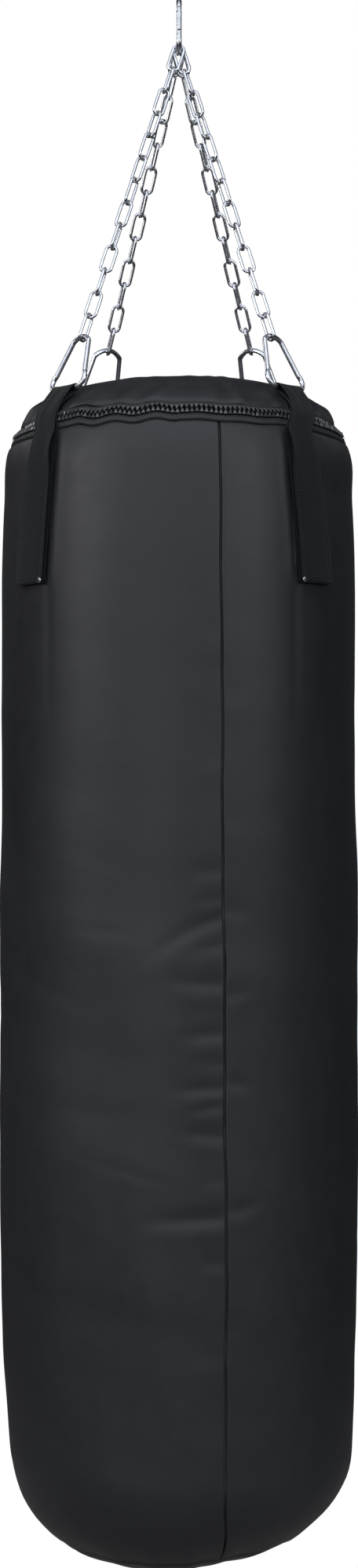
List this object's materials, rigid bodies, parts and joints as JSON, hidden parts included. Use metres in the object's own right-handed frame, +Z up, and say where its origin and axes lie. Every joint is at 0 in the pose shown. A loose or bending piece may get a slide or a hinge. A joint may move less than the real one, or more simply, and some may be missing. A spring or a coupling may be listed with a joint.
{
  "type": "heavy bag with chain hanger",
  "caption": "Cylindrical training bag with a zipped domed top, hung by webbing straps, rings and link chains from a single snap hook.",
  "frame": {"origin": "the bearing point inside the snap hook's upper bend, where the hook rests on the bar or eye that carries it", "axes": "+Z up along the bag, -Y the bag's front, +X its right side as seen from the front"},
  "size_m": [0.3592, 0.3594, 1.564],
  "materials": {
    "plated_steel": "satin",
    "spring_steel": "satin",
    "webbing": "matte",
    "backing_fabric": "matte",
    "rivet_metal": "satin",
    "cover_vinyl": "satin",
    "binding_vinyl": "satin",
    "zip_tape": "matte",
    "zip_teeth": "gloss",
    "zip_metal": "satin",
    "padding_foam": "matte",
    "rag_filling": "matte"
  },
  "bodies": {
    "hook": {"hook_body": "plated_steel"},
    "gate": {"hook_gate": "plated_steel", "gate_pin": "plated_steel", "gate_spring": "spring_steel"},
    "bag": {"chain_front_left": "plated_steel", "ring_front_left": "plated_steel", "strap_front_left": "webbing", "strap_patch_front_left": "backing_fabric", "chain_front_right": "plated_steel", "ring_front_right": "plated_steel", "strap_front_right": "webbing", "strap_patch_front_right": "backing_fabric", "chain_rear_right": "plated_steel", "ring_rear_right": "plated_steel", "strap_rear_right": "webbing", "strap_patch_rear_right": "backing_fabric", "chain_rear_left": "plated_steel", "ring_rear_left": "plated_steel", "strap_rear_left": "webbing", "strap_patch_rear_left": "backing_fabric", "strap_rivets": "rivet_metal", "rivet_washers": "rivet_metal", "cover_body": "cover_vinyl", "seam_tape": "backing_fabric", "top_panel": "cover_vinyl", "bottom_panel": "cover_vinyl", "zip_binding_upper": "binding_vinyl", "zip_tape_upper": "zip_tape", "zip_teeth_upper": "zip_teeth", "zip_teeth_lower": "zip_teeth", "zip_tape_lower": "zip_tape", "zip_binding_lower": "binding_vinyl", "zip_stop_closed": "zip_teeth", "zip_stop_open": "zip_teeth", "zip_end_patch": "binding_vinyl", "top_pad": "padding_foam", "foam_liner": "padding_foam", "bottom_pad": "padding_foam", "textile_filling": "rag_filling"},
    "slider": {"zip_slider": "zip_metal"},
    "pull": {"zip_pull": "zip_metal"}
  },
  "joints": [
    {"name": "gate_hinge", "type": "hinge", "parent": "hook", "child": "gate", "pos_m": [0, -0.01125, -0.031], "axis": [-1, 0, 0], "range_deg": [0, 30], "stiffness_Nm_per_rad": 0.02, "springref_deg": -20.05},
    {"name": "bag_swing", "type": "hinge", "parent": "hook", "child": "bag", "pos_m": [0, 0, -0.04795], "axis": [0, -1, 0], "range_deg": [-20, 20]},
    {"name": "zip_travel", "type": "hinge", "parent": "bag", "child": "slider", "pos_m": [0, 0, -0.43], "axis": [0, 0, -1], "range_deg": [0, 36]},
    {"name": "pull_flip", "type": "hinge", "parent": "slider", "child": "pull", "pos_m": [-0.05179, 0.15938, -0.42583], "axis": [0.1545, -0.4755, 0.866], "range_deg": [0, 180]}
  ]
}
